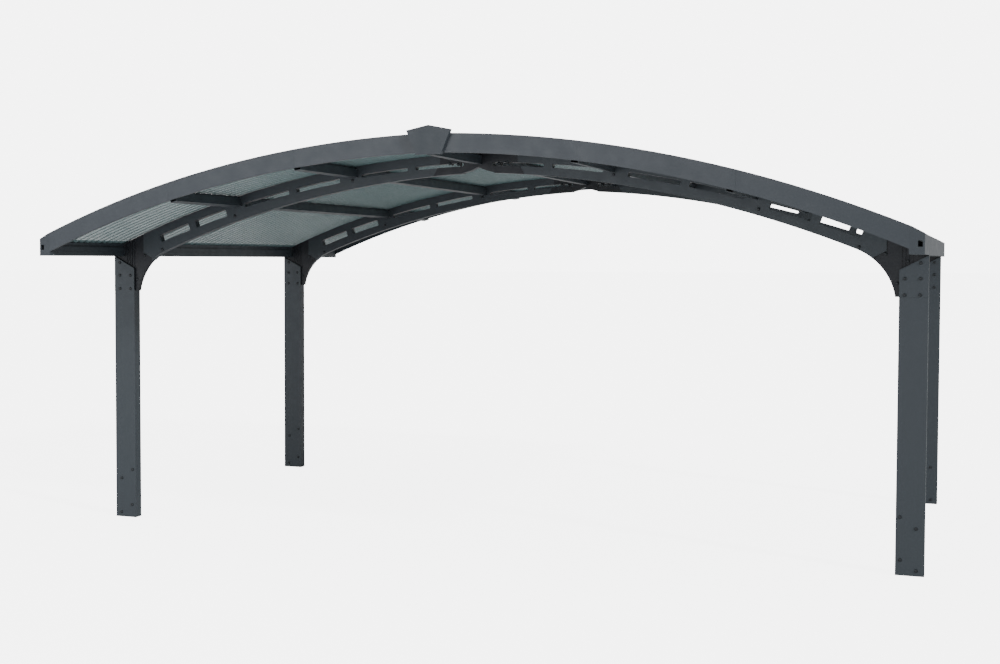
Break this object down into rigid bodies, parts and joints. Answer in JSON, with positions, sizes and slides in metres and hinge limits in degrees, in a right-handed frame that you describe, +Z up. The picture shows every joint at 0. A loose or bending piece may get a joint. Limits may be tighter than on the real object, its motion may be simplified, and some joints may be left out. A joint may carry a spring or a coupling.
{
  "type": "double carport",
  "caption": "Free-standing double carport with an arched roof of translucent corrugated sheets on slotted arch beams, curved knees and box posts.",
  "frame": {"origin": "on the floor, midway between the four posts", "axes": "+X across the two parking bays to the right, +Y from the front to the rear, +Z up"},
  "size_m": [5.76, 4.98, 2.773],
  "materials": {
    "frame_paint": "anthracite powder coat, fine satin texture",
    "knee_paint": "anthracite powder coat, fine satin texture",
    "fascia_paint": "anthracite powder coat, satin",
    "cap_plastic": "moulded anthracite plastic, matt",
    "roof_sheet": "translucent grey corrugated polycarbonate",
    "zinc_steel": "galvanised steel",
    "screw_steel": "painted screw heads, satin"
  },
  "bodies": {
    "root": {"post_front_left": "frame_paint", "post_front_right": "frame_paint", "post_rear_left": "frame_paint", "post_rear_right": "frame_paint", "anchor_front_left": "zinc_steel", "anchor_front_right": "zinc_steel", "anchor_rear_left": "zinc_steel", "anchor_rear_right": "zinc_steel", "knee_front_left": "knee_paint", "knee_front_right": "knee_paint", "knee_rear_left": "knee_paint", "knee_rear_right": "knee_paint", "arch_front_left": "frame_paint", "arch_front_right": "frame_paint", "arch_rear_left": "frame_paint", "arch_rear_right": "frame_paint", "arch_splice_front": "knee_paint", "arch_splice_rear": "knee_paint", "eave_beam_left": "frame_paint", "eave_beam_right": "frame_paint", "purlin_left_lower": "frame_paint", "purlin_left_upper": "frame_paint", "purlin_ridge": "frame_paint", "purlin_right_upper": "frame_paint", "purlin_right_lower": "frame_paint", "fascia_front_left": "fascia_paint", "fascia_front_right": "fascia_paint", "fascia_rear_left": "fascia_paint", "fascia_rear_right": "fascia_paint", "end_cap_front_left": "cap_plastic", "end_cap_front_right": "cap_plastic", "end_cap_rear_left": "cap_plastic", "end_cap_rear_right": "cap_plastic", "keystone_front": "cap_plastic", "keystone_rear": "cap_plastic", "roof_sheet_left_lower": "roof_sheet", "roof_sheet_left_middle": "roof_sheet", "roof_sheet_left_upper": "roof_sheet", "roof_sheet_right_upper": "roof_sheet", "roof_sheet_right_middle": "roof_sheet", "roof_sheet_right_lower": "roof_sheet"}
  },
  "joints": []
}
